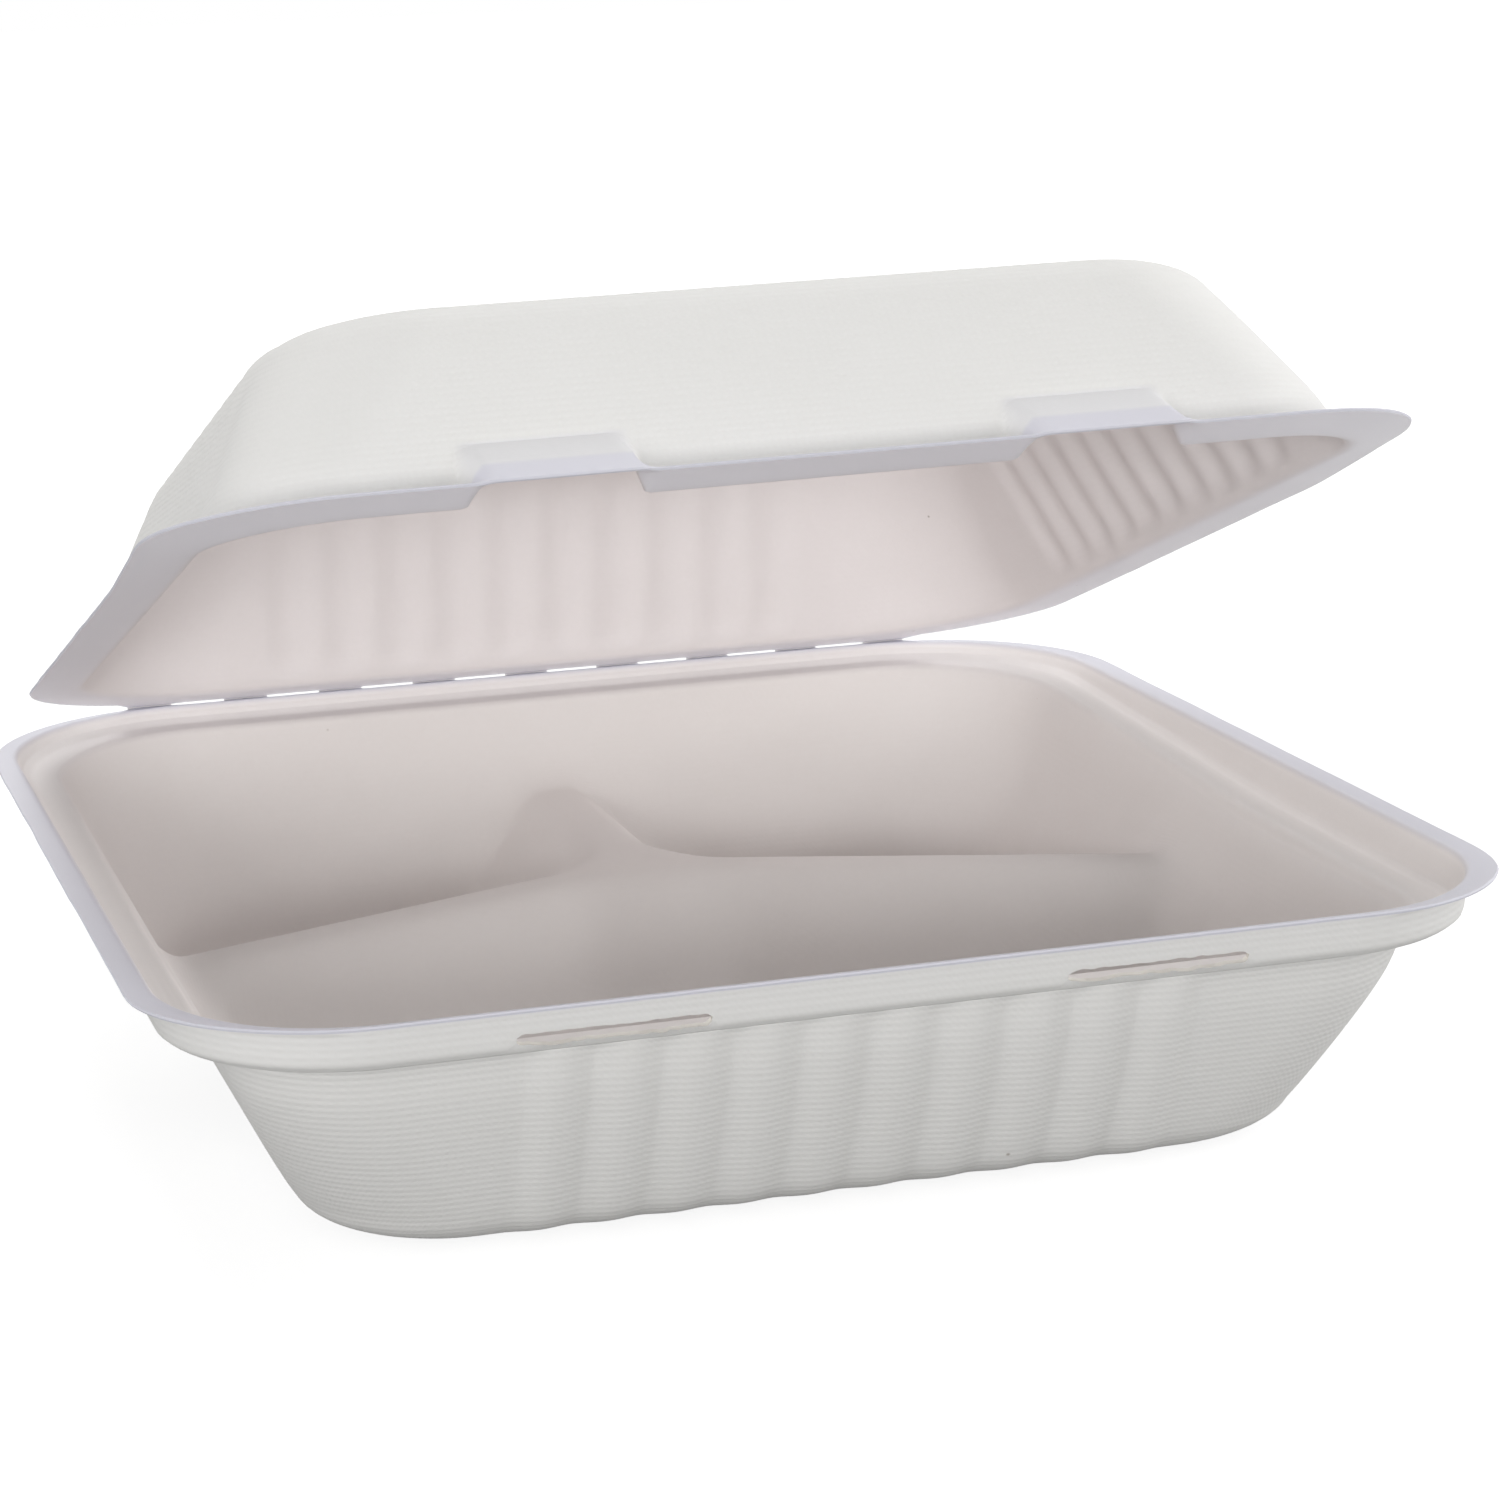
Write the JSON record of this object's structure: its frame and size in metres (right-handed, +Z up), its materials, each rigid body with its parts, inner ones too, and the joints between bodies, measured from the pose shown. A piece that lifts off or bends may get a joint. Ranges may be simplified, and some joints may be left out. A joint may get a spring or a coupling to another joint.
{
  "type": "three-compartment moulded pulp meal box",
  "caption": "Shallow square meal box moulded from sugarcane pulp, with Y-shaped dividers, a domed fluted lid on a perforated fold and tuck-in tongue catches.",
  "frame": {"origin": "centre of the underside of the tray's floor", "axes": "+Z up, +Y from the front of the tray to the hinge of the lid, +X to the right"},
  "size_m": [0.23, 0.2365, 0.147],
  "materials": {
    "tray_pulp": "matte moulded pulp, smooth on the food side, fine woven screen imprint outside",
    "lid_pulp": "matte moulded pulp, smooth on the food side, fine woven screen imprint outside"
  },
  "bodies": {
    "tray": {"base_tray": "tray_pulp"},
    "lid": {"lid": "lid_pulp"}
  },
  "joints": [
    {"name": "lid_hinge", "type": "hinge", "parent": "tray", "child": "lid", "pos_m": [0, 0.118, 0.04755], "axis": [-1, 0, 0], "range_deg": [-21, 160]}
  ]
}
